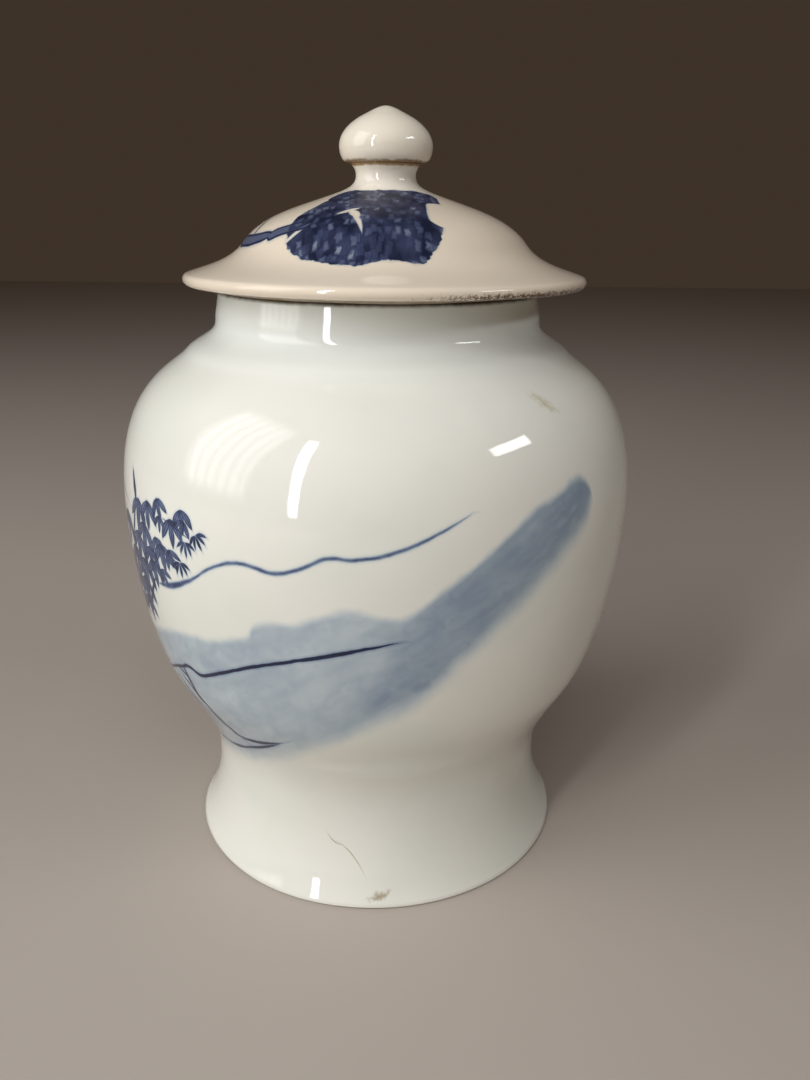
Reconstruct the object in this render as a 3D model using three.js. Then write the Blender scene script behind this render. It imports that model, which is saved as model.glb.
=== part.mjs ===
// Porcelain baluster jar with a domed cover, in millimetres, +Z up.
// The origin is on the jar's own axis, level with the floor that it stands on.
// A jar of this size is thrown in sections that are luted together with slip and then glazed over:
// foot, lower body, upper body and neck make the jar, and dome, locating ring, finial stem and finial bud
// make the cover. Each section is one mesh. Luted faces are flat and touch.
// Outlines are [radius, height] pairs about the axis.
import * as THREE from "three";

// Jar, outside
const FOOT_RADIUS = 98.6;
const WAIST_RADIUS = 86.8;
const WAIST_HEIGHT = 40;
const BELLY_RADIUS = 124.2;
const BELLY_HEIGHT = 186;
const NECK_RADIUS = 77.2;
const NECK_HEIGHT = 267;
const LIP_RADIUS = 75.5;
const LIP_HEIGHT = 283;
// Where one curve of the outline runs smoothly into the next
const SWELL = [106.4, 93.7];
const SHOULDER_FOOT = [91.3, 254];

// Jar, walls and base
const WALL = 6;
const FOOT_RIM_WIDTH = 9;
const BASE_RECESS = 9;
const FLOOR_HEIGHT = 19;
const FLOOR_RADIUS = 66;
const LIP_ROUND = 1.6;

// Cover
const RIM_RADIUS = 94;
const RIM_ROUND = 2.7;
const RING_OUTER_RADIUS = 65;
const RING_WALL = 5;
const RING_DEPTH = 15;
const CROWN_HEIGHT = 323.5;
const CROWN_THICKNESS = 5.5;
const PAD_RADIUS = 22;
const DOME_FOOT = [66, 301.6];

// Finial
const STEM_RADIUS = 13.8;
const STEM_WAIST_HEIGHT = 331;
const STEM_TOP_RADIUS = 16.6;
const BUD_BASE_HEIGHT = 336;
const BUD_BASE_RADIUS = 17;
const BUD_RADIUS = 21.3;
const BUD_WIDEST_HEIGHT = 343.2;
const BUD_SHOULDER = [10.5, 356];
const TIP_HEIGHT = 360;

// The cover has play in the neck and rests a little off the jar's axis, towards +X.
const COVER_SHIFT = 3.5;

// Facets around each piece
const BODY_FACETS = 48;
const SMALL_FACETS = 32;

const point = ([radius, height]) => new THREE.Vector2(radius, height);

// Points along a cubic curve from one end to the other, shaped by its two handles.
function bend(start, startHandle, endHandle, end, steps) {
  const ends = [start, startHandle, endHandle, end].map(point);
  return new THREE.CubicBezierCurve(...ends).getPoints(steps);
}

// Points along an arc about a centre, from one angle to another in degrees, 0 pointing outwards and 90 up.
function arc([radius, height], size, from, to, steps) {
  const turn = THREE.MathUtils.degToRad;
  return new THREE.EllipseCurve(radius, height, size, size, turn(from), turn(to), to < from).getPoints(steps);
}

// The line a wall's thickness inside an outline that runs upwards.
function inside(outline, wall) {
  return outline.map((at, i) => {
    const before = outline[Math.max(i - 1, 0)];
    const after = outline[Math.min(i + 1, outline.length - 1)];
    const along = after.clone().sub(before).normalize();
    return new THREE.Vector2(at.x - along.y * wall, at.y + along.x * wall);
  });
}

// The same line with its two ends brought level with the outline's, so that luted faces are flat.
function insideLevel(outline, wall) {
  const line = inside(outline, wall);
  line[0].set(outline[0].x - wall, outline[0].y);
  line.at(-1).set(outline.at(-1).x - wall, outline.at(-1).y);
  return line;
}

// A wall between an outer and an inner outline that both run upwards, turned about the axis.
function turnedWall(outer, inner) {
  return turned([...outer, ...inner.toReversed(), outer[0].clone()], BODY_FACETS);
}

// A closed outline, or one that starts and ends on the axis, turned about the axis with +Z up.
function turned(outline, facets) {
  return new THREE.LatheGeometry(outline, facets).rotateX(Math.PI / 2);
}

const porcelain = (color) => new THREE.MeshStandardMaterial({ color, roughness: 0.12, metalness: 0 });
const jarGlaze = porcelain("#d9dcd3");
const coverGlaze = porcelain("#ddd3c1");
const bareBiscuit = new THREE.MeshStandardMaterial({ color: "#d5c3ad", roughness: 0.75, metalness: 0 });

function piece(name, geometry, material) {
  const mesh = new THREE.Mesh(geometry, material);
  mesh.name = name;
  return mesh;
}

// Spreading foot, with the jar's floor in it and a shallow recess under the floor.
function footSection() {
  const outer = bend([FOOT_RADIUS, 0], [91.6, 10], [WAIST_RADIUS, 24], [WAIST_RADIUS, WAIST_HEIGHT], 7);
  const rimInside = FOOT_RADIUS - FOOT_RIM_WIDTH;
  const innerWaist = WAIST_RADIUS - WALL;
  const basin = bend(
    [innerWaist, WAIST_HEIGHT],
    [innerWaist, 27],
    [FLOOR_RADIUS + 10, FLOOR_HEIGHT],
    [FLOOR_RADIUS, FLOOR_HEIGHT],
    5,
  );
  const floor = [[0, FLOOR_HEIGHT], [0, BASE_RECESS]].map(point);
  const recess = [[rimInside - 5, BASE_RECESS], [rimInside, 0], [FOOT_RADIUS, 0]].map(point);
  return turned([...outer, ...basin, ...floor, ...recess], BODY_FACETS);
}

// Lower half of the body, from the waist to the widest place.
function lowerBody() {
  const rising = bend([WAIST_RADIUS, WAIST_HEIGHT], [WAIST_RADIUS, 60], [92.2, 68.6], SWELL, 6);
  const filling = bend(SWELL, [118.1, 114.3], [BELLY_RADIUS, 160], [BELLY_RADIUS, BELLY_HEIGHT], 6);
  const outer = [...rising, ...filling.slice(1)];
  return turnedWall(outer, insideLevel(outer, WALL));
}

// Upper half of the body, over the shoulder to the foot of the neck.
function upperBody() {
  const shoulder = bend([BELLY_RADIUS, BELLY_HEIGHT], [BELLY_RADIUS, 240], [98.5, 245.4], SHOULDER_FOOT, 9);
  const fillet = bend(SHOULDER_FOOT, [87, 259], [NECK_RADIUS, 261], [NECK_RADIUS, NECK_HEIGHT], 4);
  const outer = [...shoulder, ...fillet.slice(1)];
  return turnedWall(outer, insideLevel(outer, WALL));
}

// Short upright neck with a rounded lip that the cover rests on.
function neckCollar() {
  const outerRound = [LIP_RADIUS - LIP_ROUND, LIP_HEIGHT - LIP_ROUND];
  const innerRound = [LIP_RADIUS - WALL + LIP_ROUND, LIP_HEIGHT - LIP_ROUND];
  const outer = [point([NECK_RADIUS, NECK_HEIGHT]), ...arc(outerRound, LIP_ROUND, 0, 90, 3)];
  const inner = [point([NECK_RADIUS - WALL, NECK_HEIGHT]), ...arc(innerRound, LIP_ROUND, 180, 90, 3)];
  return turnedWall(outer, inner);
}

// Dome with a broad flat-bottomed rim, hollow inside.
function coverDome() {
  const rimCentre = [RIM_RADIUS - RIM_ROUND, LIP_HEIGHT + RIM_ROUND];
  const edge = arc(rimCentre, RIM_ROUND, -90, 70, 5);
  const rimTop = edge.at(-1);
  const sweep = bend([rimTop.x, rimTop.y], [84, 291.2], [72, 293.5], DOME_FOOT, 5).slice(1);
  const crown = bend(DOME_FOOT, [57, 313.8], [40, 317.2], [PAD_RADIUS, CROWN_HEIGHT], 6).slice(1);
  const ringInside = RING_OUTER_RADIUS - RING_WALL;
  const ceiling = CROWN_HEIGHT - CROWN_THICKNESS;
  const hollow = bend([0, ceiling], [38, ceiling], [ringInside, 307], [ringInside, LIP_HEIGHT], 9);
  const outside = [...edge, ...sweep, ...crown, point([0, CROWN_HEIGHT])];
  return turned([...outside, ...hollow, edge[0].clone()], BODY_FACETS);
}

// Ring under the dome that keeps the cover over the neck.
function coverRing() {
  const foot = LIP_HEIGHT - RING_DEPTH;
  const round = RING_WALL / 2;
  const tip = arc([RING_OUTER_RADIUS - round, foot + round], round, -180, 0, 6);
  const top = [[RING_OUTER_RADIUS, LIP_HEIGHT], [RING_OUTER_RADIUS - RING_WALL, LIP_HEIGHT]].map(point);
  return turned([...tip, ...top, tip[0].clone()], SMALL_FACETS);
}

// Waisted stem that spreads into the dome.
function finialStem() {
  const waist = [STEM_RADIUS, STEM_WAIST_HEIGHT];
  const spread = bend([PAD_RADIUS, CROWN_HEIGHT], [16.6, 325.6], [STEM_RADIUS, 327], waist, 5);
  const seat = [STEM_TOP_RADIUS, BUD_BASE_HEIGHT];
  const top = bend(waist, [STEM_RADIUS, 333.4], [15, 334.6], seat, 3);
  const axis = [[0, BUD_BASE_HEIGHT], [0, CROWN_HEIGHT], [PAD_RADIUS, CROWN_HEIGHT]].map(point);
  return turned([...spread, ...top.slice(1), ...axis], SMALL_FACETS);
}

// Pointed bud on the stem.
function finialBud() {
  const base = [BUD_BASE_RADIUS, BUD_BASE_HEIGHT];
  const widest = [BUD_RADIUS, BUD_WIDEST_HEIGHT];
  const under = bend(base, [19.6, BUD_BASE_HEIGHT], [BUD_RADIUS, 339.2], widest, 4);
  const over = bend(widest, [BUD_RADIUS, 348.5], [16.5, 353], BUD_SHOULDER, 6);
  const tip = bend(BUD_SHOULDER, [6.5, 358], [3, TIP_HEIGHT], [0, TIP_HEIGHT], 4);
  return turned([point([0, BUD_BASE_HEIGHT]), ...under, ...over.slice(1), ...tip.slice(1)], SMALL_FACETS);
}

const jar = new THREE.Group();
jar.add(
  piece("foot_section", footSection(), jarGlaze),
  piece("lower_body", lowerBody(), jarGlaze),
  piece("upper_body", upperBody(), jarGlaze),
  piece("neck_collar", neckCollar(), jarGlaze),
);

const cover = new THREE.Group();
cover.position.x = COVER_SHIFT;
cover.add(
  piece("cover_dome", coverDome(), coverGlaze),
  piece("cover_locating_ring", coverRing(), bareBiscuit),
  piece("finial_stem", finialStem(), coverGlaze),
  piece("finial_bud", finialBud(), coverGlaze),
);

const gingerJar = new THREE.Group();
gingerJar.add(jar, cover);

export default gingerJar;
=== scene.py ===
"""A porcelain ginger jar with a loose domed cover, painted in blue under a clear glaze. Metres, +Z up."""

import math

import bpy
from mathutils import Matrix, Vector


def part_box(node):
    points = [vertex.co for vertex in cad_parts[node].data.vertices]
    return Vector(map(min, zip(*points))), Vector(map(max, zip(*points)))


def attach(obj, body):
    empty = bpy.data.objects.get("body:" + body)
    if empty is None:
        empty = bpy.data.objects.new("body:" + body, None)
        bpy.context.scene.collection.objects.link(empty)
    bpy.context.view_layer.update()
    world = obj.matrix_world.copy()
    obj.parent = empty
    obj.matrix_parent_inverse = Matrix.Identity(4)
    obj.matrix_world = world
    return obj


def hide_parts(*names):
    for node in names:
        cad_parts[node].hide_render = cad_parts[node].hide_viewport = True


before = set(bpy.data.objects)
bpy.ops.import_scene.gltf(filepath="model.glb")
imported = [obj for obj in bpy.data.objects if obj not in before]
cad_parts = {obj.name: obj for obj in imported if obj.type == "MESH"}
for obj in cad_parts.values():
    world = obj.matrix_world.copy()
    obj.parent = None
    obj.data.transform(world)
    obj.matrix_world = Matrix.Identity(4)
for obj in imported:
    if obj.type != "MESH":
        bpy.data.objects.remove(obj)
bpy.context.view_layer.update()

MM = 0.001

# Sizes in millimetres, read from the frame. A jar's section is drawn as (radius, height) pairs.
foot_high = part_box("foot_section")[1] / MM
lower_low, lower_high = (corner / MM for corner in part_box("lower_body"))
neck_low, neck_high = (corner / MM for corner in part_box("neck_collar"))
dome_low, dome_high = (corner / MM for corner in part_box("cover_dome"))
ring_low, ring_high = (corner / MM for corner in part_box("cover_locating_ring"))
stem_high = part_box("finial_stem")[1] / MM
bud_low, bud_high = (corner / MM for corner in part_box("finial_bud"))

FOOT_RADIUS = foot_high.x
WAIST_HEIGHT = lower_low.z
BELLY_RADIUS = lower_high.x
BELLY_HEIGHT = lower_high.z
NECK_RADIUS = neck_high.x
NECK_HEIGHT = neck_low.z
LIP_HEIGHT = neck_high.z
COVER_X = (dome_low.x + dome_high.x) / 2
RIM_RADIUS = dome_high.x - COVER_X
CROWN_HEIGHT = dome_high.z
RING_RADIUS = ring_high.x - COVER_X
RING_FOOT = ring_low.z
PAD_RADIUS = stem_high.x - COVER_X
BUD_FOOT = bud_low.z
BUD_RADIUS = bud_high.x - COVER_X
TIP_HEIGHT = bud_high.z

# Sizes that the frame's boxes don't give
WAIST_RADIUS = 86.8
LIP_RADIUS = NECK_RADIUS - 1.7
WALL = 6.0
FOOT_RIM_WIDTH = 9.0
BASE_RECESS = 9.0
RECESS_RADIUS = 40.0
FLOOR_HEIGHT = 19.0
FLOOR_RADIUS = 66.0
RIM_ROUND = 2.7
CROWN_THICKNESS = 5.5
RING_WALL = 5.0
STEM_RADIUS = 13.8
STEM_WAIST_HEIGHT = 331.0
BUD_WIDEST_HEIGHT = 343.2

# Where one curve of an outline runs smoothly into the next
SWELL = (106.4, 93.7)
SHOULDER_FOOT = (91.3, 254)
DOME_FOOT = (66, 301.6)
BUD_SHOULDER = (10.5, 356)

# Faces round each turned piece, and how near two points of one are before they are the same point
AROUND = 192
SAME_POINT = 0.01 * MM


# ---- Turned shapes


def bend(start, start_pull, end_pull, end, steps):
    """Points along a cubic curve between two points, shaped by its two pulls, without the first point."""
    start, start_pull, end_pull, end = (Vector(p) for p in (start, start_pull, end_pull, end))
    points = []
    for step in range(1, steps + 1):
        t = step / steps
        s = 1 - t
        points.append(s**3 * start + 3 * s * s * t * start_pull + 3 * s * t * t * end_pull + t**3 * end)
    return points


def arc(centre, size, first, last, steps):
    """Points along an arc about a centre, in degrees, 0 pointing outwards and 90 up."""
    points = []
    for step in range(steps + 1):
        turn = math.radians(first + (last - first) * step / steps)
        points.append(Vector(centre) + size * Vector((math.cos(turn), math.sin(turn))))
    return points


def straight(*places):
    """The corners of straight runs between (radius, height) places."""
    return [Vector(place) for place in places]


def thrown(name, section, axis_x=0.0):
    """Draws a section point by point beside the axis and spins it once round, as on a wheel."""
    radius, height = section[0]
    bpy.ops.object.select_all(action="DESELECT")
    bpy.ops.mesh.primitive_plane_add(size=MM, location=((axis_x + radius) * MM, 0, height * MM))
    piece = bpy.context.object
    piece.name = name
    bpy.ops.object.transform_apply(location=True, rotation=False, scale=False)
    bpy.ops.object.mode_set(mode="EDIT")
    bpy.ops.mesh.select_all(action="SELECT")
    bpy.ops.mesh.merge(type="CENTER")
    for last, point in zip(section, section[1:]):
        step = ((point[0] - last[0]) * MM, 0, (point[1] - last[1]) * MM)
        bpy.ops.mesh.extrude_region_move(TRANSFORM_OT_translate={"value": step})
    bpy.ops.mesh.select_all(action="SELECT")
    bpy.ops.mesh.remove_doubles(threshold=SAME_POINT)
    bpy.ops.mesh.select_all(action="SELECT")
    bpy.ops.mesh.spin(steps=AROUND, angle=2 * math.pi, center=(axis_x * MM, 0, 0), axis=(0, 0, 1))
    bpy.ops.mesh.select_all(action="SELECT")
    bpy.ops.mesh.remove_doubles(threshold=SAME_POINT)
    bpy.ops.mesh.normals_make_consistent(inside=False)
    bpy.ops.object.mode_set(mode="OBJECT")
    bpy.ops.object.shade_smooth()
    return piece


def inside(outline):
    """The line a wall's thickness inside an outline that runs upwards, drawn downwards."""
    within = []
    for before, at, after in zip(outline, outline[1:], outline[2:]):
        along = (after - before).normalized()
        within.append(at + WALL * Vector((-along.y, along.x)))
    return within[::-1]


def jar_section():
    """The glazed jar: from the foot rim up the outside, over the lip, down the inside, across the base."""
    waist = (WAIST_RADIUS, WAIST_HEIGHT)
    belly = (BELLY_RADIUS, BELLY_HEIGHT)
    neck = (NECK_RADIUS, NECK_HEIGHT)
    foot = bend((FOOT_RADIUS, 0), (91.6, 10), (WAIST_RADIUS, 24), waist, 24)
    wiped_height = 1.5
    foot = [point for point in foot if point.y > wiped_height]
    body = [
        *bend(waist, (WAIST_RADIUS, 60), (92.2, 68.6), SWELL, 22),
        *bend(SWELL, (118.1, 114.3), (BELLY_RADIUS, 160), belly, 22),
        *bend(belly, (BELLY_RADIUS, 240), (98.5, 245.4), SHOULDER_FOOT, 30),
        *bend(SHOULDER_FOOT, (87, 259), (NECK_RADIUS, 261), neck, 12),
        *bend(neck, (NECK_RADIUS, 272), (LIP_RADIUS, 276), (LIP_RADIUS, LIP_HEIGHT - 3.6), 8),
    ]
    # The glaze ends in a soft bead where it was wiped off, at the foot and on both sides of the lip
    lining_radius = LIP_RADIUS - WALL
    foot_bead = straight((97.0, 0.5), (97.7, 0.6), (97.9, 1.0))
    lip_bead = straight((LIP_RADIUS - 0.4, LIP_HEIGHT - 2.7), (LIP_RADIUS - 1.3, LIP_HEIGHT - 2.2))
    inner_bead = straight((lining_radius + 0.8, LIP_HEIGHT - 1.7), (lining_radius + 0.2, LIP_HEIGHT - 2.1))
    lining = [point for point in inside(body) if WAIST_HEIGHT < point.y < LIP_HEIGHT - 3]
    basin_radius = WAIST_RADIUS - WALL
    basin_edge = (basin_radius, WAIST_HEIGHT)
    floor_edge = (FLOOR_RADIUS, FLOOR_HEIGHT)
    basin = [
        Vector(basin_edge),
        *bend(basin_edge, (basin_radius, 27), (FLOOR_RADIUS + 10, FLOOR_HEIGHT), floor_edge, 12),
    ]
    floor = straight((44, FLOOR_HEIGHT), (22, FLOOR_HEIGHT), (0, FLOOR_HEIGHT), (0, BASE_RECESS))
    rim_inside = FOOT_RADIUS - FOOT_RIM_WIDTH
    recess_edge = (RECESS_RADIUS, BASE_RECESS)
    recess = [
        Vector(recess_edge),
        *bend(recess_edge, (rim_inside - 8, BASE_RECESS), (rim_inside - 4, 9), (rim_inside - 1.2, 2.2), 10),
        Vector((rim_inside, 1.1)),
    ]
    outside = [*foot_bead, *foot, *body, *lip_bead]
    within = [*inner_bead, *lining, *basin, *floor, *recess]
    return [*outside, *within, outside[0]]


def foot_rim_section():
    """The bare ring that the jar stands on, with its edges rounded where the glaze was wiped off."""
    outer = FOOT_RADIUS - 3.0
    inner = FOOT_RADIUS - FOOT_RIM_WIDTH + 0.6
    return [
        Vector((inner, 3)),
        *arc((inner + 0.9, 0.9), 0.9, 180, 270, 5),
        *arc((outer - 0.7, 0.7), 0.7, -90, 0, 5),
        Vector((outer, 3)),
        Vector((inner, 3)),
    ]


def lip_section():
    """The bare top of the lip, which the cover rests on."""
    outer = LIP_RADIUS - 1.0
    inner = LIP_RADIUS - WALL + 0.5
    foot = LIP_HEIGHT - 4
    return [
        Vector((outer, foot)),
        *arc((outer - 1.9, LIP_HEIGHT - 1.9), 1.9, 0, 90, 8),
        *arc((inner + 1.1, LIP_HEIGHT - 1.1), 1.1, 90, 180, 6),
        Vector((inner, foot)),
        Vector((outer, foot)),
    ]


def cover_section():
    """The glazed dome with its rim and the stem that grows out of it."""
    crown = (PAD_RADIUS, CROWN_HEIGHT)
    stem_waist = (STEM_RADIUS, STEM_WAIST_HEIGHT)
    rim_centre = (RIM_RADIUS - RIM_ROUND, LIP_HEIGHT + RIM_ROUND)
    rim = arc(rim_centre, RIM_ROUND, -80, 70, 14)
    sweep = bend(rim[-1], (84, 291.2), (72, 293.5), DOME_FOOT, 18)
    dome = bend(DOME_FOOT, (57, 313.8), (40, 317.2), crown, 18)
    stem = bend(crown, (16.6, 325.6), (STEM_RADIUS, 327), stem_waist, 12)
    neck = bend(stem_waist, (STEM_RADIUS, 333.4), (15, 334.6), (16.4, BUD_FOOT), 8)
    ceiling = CROWN_HEIGHT - CROWN_THICKNESS
    ring_inside = RING_RADIUS - RING_WALL
    hollow = bend((0, ceiling), (38, ceiling), (ring_inside, 307), (ring_inside, LIP_HEIGHT), 24)
    seat = LIP_HEIGHT + 0.3
    outside = [*rim, *sweep, *dome, *stem, *neck]
    within = [*straight((0, BUD_FOOT), (0, ceiling)), *hollow]
    under = straight((ring_inside, seat), (rim_centre[0], seat))
    return [*outside, *within, *under, outside[0]]


def cover_seat_section():
    """The bare underside of the rim, which sits on the lip."""
    outer = RIM_RADIUS - 3.2
    inner = RING_RADIUS - 2
    top = LIP_HEIGHT + 1.5
    return straight(
        (inner, top),
        (inner, LIP_HEIGHT),
        (outer - 0.4, LIP_HEIGHT),
        (outer, LIP_HEIGHT + 0.3),
        (outer, top),
        (inner, top),
    )


def locating_ring_section():
    """The bare ring under the dome that keeps the cover over the neck."""
    half = RING_WALL / 2
    waisted = RING_RADIUS - 0.5
    foot = (RING_RADIUS, RING_FOOT + half)
    top = (RING_RADIUS, LIP_HEIGHT + 1)
    inner = RING_RADIUS - RING_WALL
    return [
        *arc((RING_RADIUS - half, RING_FOOT + half), half, -180, 0, 16),
        *bend(foot, (waisted, 274), (waisted, 280), top, 8),
        *straight((inner, LIP_HEIGHT + 1), (inner, RING_FOOT + half)),
    ]


def bud_section():
    """The pointed bud, with a shallow undercut where it was luted to the stem."""
    base = (17, BUD_FOOT)
    widest = (BUD_RADIUS, BUD_WIDEST_HEIGHT)
    under = straight((0, BUD_FOOT - 0.5), (14.6, BUD_FOOT - 0.5), (15.2, BUD_FOOT - 0.1), base)
    return [
        *under,
        *bend(base, (19.6, BUD_FOOT), (BUD_RADIUS, 339.2), widest, 12),
        *bend(widest, (BUD_RADIUS, 348.5), (16.5, 353), BUD_SHOULDER, 16),
        *bend(BUD_SHOULDER, (6.5, 358), (3, TIP_HEIGHT), (0, TIP_HEIGHT), 12),
        under[0],
    ]


# ---- Materials


def linear(colour):
    """An sRGB hex colour as linear red, green, blue and alpha."""
    parts = [int(colour[i : i + 2], 16) / 255 for i in (1, 3, 5)]
    return [part / 12.92 if part <= 0.04045 else ((part + 0.055) / 1.055) ** 2.4 for part in parts] + [1.0]


def add(tree, kind, sockets, **settings):
    """Adds a node. Each socket takes a value, or a link from a node's first output or a stated output."""
    made = tree.nodes.new("ShaderNode" + kind)
    for name, value in settings.items():
        setattr(made, name, value)
    for key, value in sockets.items():
        if isinstance(value, bpy.types.Node):
            tree.links.new(value.outputs[0], made.inputs[key])
        elif isinstance(value, bpy.types.NodeSocket):
            tree.links.new(value, made.inputs[key])
        else:
            made.inputs[key].default_value = value
    return made


# A range whose ends are eased. It can't overshoot, so it isn't clamped again and a big material stays small.
SMOOTH = {"interpolation_type": "SMOOTHSTEP", "clamp": False}


def empty_material(name):
    """A material with no nodes in it yet."""
    made = bpy.data.materials.new(name)
    made.use_nodes = True
    made.node_tree.nodes.clear()
    return made


# ---- The painting, drawn on a sheet wrapped round the jar

# One degree round the belly in millimetres of sheet. A curve holds a height as a share of SHEET_HEIGHT.
DEGREE = math.radians(BELLY_RADIUS)
SHEET_HEIGHT = 400.0
ORIGIN = (0, 0)
ACROSS = Vector((1, 0))
UP = Vector((0, 1))


def jar_sheet(tree):
    """The place on the wrapped sheet, in millimetres, 0 across being the middle of the front."""
    place = add(tree, "SeparateXYZ", {0: add(tree, "TexCoord", {}).outputs["Object"]})
    back = add(tree, "Math", {0: place.outputs["Y"], 1: -1.0}, operation="MULTIPLY")
    angle = add(tree, "Math", {0: place.outputs["X"], 1: back}, operation="ARCTAN2")
    across = add(tree, "Math", {0: angle, 1: BELLY_RADIUS}, operation="MULTIPLY")
    height = add(tree, "Math", {0: place.outputs["Z"], 1: 1 / MM}, operation="MULTIPLY")
    return add(tree, "CombineXYZ", {"X": across, "Y": height})


def cover_sheet(tree):
    """The place on a flat sheet over the cover, in millimetres from its axis, with -Y towards the front."""
    place = add(tree, "TexCoord", {}).outputs["Object"]
    centre = (-COVER_X, 0, 0)
    return add(tree, "Mapping", {"Vector": place, "Location": centre, "Scale": (1 / MM, 1 / MM, 1 / MM)})


# A size that a pattern on a sheet is given straight up, so that it doesn't change with height
FLAT = 10000.0


def unsteady(tree, sheet, size, reach):
    """The same sheet, each place pushed by up to reach in waves about size long, as a free hand wanders."""
    wander = add(tree, "TexNoise", {"Vector": sheet, "Scale": 1 / size, "Detail": 2.0, "Roughness": 0.5})
    centred = add(tree, "VectorMath", {0: wander.outputs["Color"], 1: (0.5, 0.5, 0.5)}, operation="SUBTRACT")
    push = add(tree, "VectorMath", {0: centred, "Scale": 2 * reach}, operation="SCALE")
    return add(tree, "VectorMath", {0: sheet, 1: push}, operation="ADD")


def soft_edge(tree, depth, softness):
    """1 inside a painted shape and 0 outside, from the depth inside its edge in millimetres."""
    return add(tree, "MapRange", {"Value": depth, "From Min": -softness, "From Max": softness}, **SMOOTH)


def traced(tree, across, points):
    """The height at each place across the sheet of a smooth line through (across, height) points."""
    first, last = points[0][0], points[-1][0]
    part = add(tree, "Math", {0: across, 1: -first}, operation="ADD")
    part = add(tree, "Math", {0: part, 1: 1 / (last - first)}, operation="MULTIPLY")
    line = add(tree, "FloatCurve", {"Value": part})
    line.mapping.extend = "HORIZONTAL"
    dots = line.mapping.curves[0].points
    dots[0].location = (0, points[0][1] / SHEET_HEIGHT)
    dots[1].location = (1, points[-1][1] / SHEET_HEIGHT)
    for place, height in points[1:-1]:
        dots.new((place - first) / (last - first), height / SHEET_HEIGHT)
    line.mapping.update()
    return add(tree, "Math", {0: line, 1: SHEET_HEIGHT}, operation="MULTIPLY")


def drawn_line(tree, across, height, points, pressure):
    """Depth inside a long brush line. pressure holds its half width at places along it."""
    middle = traced(tree, across, points)
    offset = add(tree, "Math", {0: height, 1: middle}, operation="SUBTRACT")
    distance = add(tree, "Math", {0: offset}, operation="ABSOLUTE")
    # A curve can't go below 0, so the widths are lifted while they are traced
    lifted = 3.0
    half = traced(tree, across, [(place, width + lifted) for place, width in pressure])
    reach = add(tree, "Math", {0: half, 1: distance}, operation="SUBTRACT")
    return add(tree, "Math", {0: reach, 1: lifted}, operation="SUBTRACT")


def stroke_shape(tree, along, aside, length, width, bow, blunt=False):
    """Depth inside one pressed stroke, and the distance from its middle line. Its ends are pointed unless it
    is blunt, and its middle curves aside by bow."""
    centred = add(tree, "Math", {0: along, 1: 2 / length, 2: -1.0}, operation="MULTIPLY_ADD")
    square = add(tree, "Math", {0: centred, 1: centred}, operation="MULTIPLY")
    swell = add(tree, "Math", {0: 1.0, 1: square}, operation="SUBTRACT")
    bent = add(tree, "Math", {0: swell, 1: -bow, 2: aside}, operation="MULTIPLY_ADD")
    distance = add(tree, "Math", {0: bent}, operation="ABSOLUTE")
    if blunt:
        fourth = add(tree, "Math", {0: square, 1: square}, operation="MULTIPLY")
        swell = add(tree, "Math", {0: fourth, 1: fourth}, operation="MULTIPLY")
        swell = add(tree, "Math", {0: 1.0, 1: swell}, operation="SUBTRACT")
    half = add(tree, "Math", {0: swell, 1: width / 2}, operation="MULTIPLY")
    return add(tree, "Math", {0: half, 1: distance}, operation="SUBTRACT"), distance


def along_way(tree, sheet, start, way):
    """How far each place on a sheet lies from start along a direction, in millimetres."""
    reach = add(tree, "VectorMath", {0: sheet, 1: (*way, 0)}, operation="DOT_PRODUCT").outputs["Value"]
    return add(tree, "Math", {0: reach, 1: Vector(start).dot(way)}, operation="SUBTRACT")


def stroke(tree, sheet, start, end, width, bow=0.0, blunt=False):
    """Depth inside one pressed stroke from start to end on a sheet, all in millimetres."""
    run = Vector(end) - Vector(start)
    ahead = run.normalized()
    along = along_way(tree, sheet, start, ahead)
    aside = along_way(tree, sheet, start, Vector((-ahead.y, ahead.x)))
    return stroke_shape(tree, along, aside, run.length, width, bow, blunt)[0]


def brushed(tree, depth, edge):
    """Ink of a brush mark: a full core, and a faint blue bleed about a millimetre wide round it."""
    core = soft_edge(tree, depth, edge)
    faint = {"Value": depth, "From Min": -1.7, "From Max": 0.2, "To Max": 0.16}
    bleed = add(tree, "MapRange", faint, **SMOOTH)
    return add(tree, "Math", {0: core, 1: bleed}, operation="MAXIMUM")


def union(tree, marks):
    """The deepest of several marks, each joined to the rest as soon as it is drawn."""
    marks = iter(marks)
    whole = next(marks)
    for mark in marks:
        whole = add(tree, "Math", {0: whole, 1: mark}, operation="MAXIMUM")
    return whole


def strokes_round(tree, sheet, marks):
    """Pressed strokes whose ends are given as degrees round the jar and heights."""
    return (
        stroke(tree, sheet, (start[0] * DEGREE, start[1]), (end[0] * DEGREE, end[1]), width, bow)
        for start, end, width, bow in marks
    )


def leaf_ink(tree, depth, distance):
    """Ink of one leaf: a dark outline and midrib round a paler fill."""
    body = brushed(tree, depth, 0.3)
    inner = soft_edge(tree, add(tree, "Math", {0: depth, 1: 0.7}, operation="SUBTRACT"), 0.25)
    rib = add(tree, "MapRange", {"Value": distance, "From Min": 0.1, "From Max": 0.4}, **SMOOTH)
    hollow = add(tree, "Math", {0: inner, 1: rib}, operation="MULTIPLY")
    return add(tree, "Math", {0: hollow, 1: -0.24, 2: body}, operation="MULTIPLY_ADD")


def hanging_leaf(tree, aside, down, spread, length, width, bow):
    """One leaf that hangs from a point at an angle of spread degrees from straight down."""
    turn = math.radians(spread)
    place = add(tree, "CombineXYZ", {"X": aside, "Y": down})
    along = along_way(tree, place, ORIGIN, Vector((math.sin(turn), math.cos(turn))))
    across = along_way(tree, place, ORIGIN, Vector((math.cos(turn), -math.sin(turn))))
    return leaf_ink(tree, *stroke_shape(tree, along, across, length, width, bow))


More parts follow.
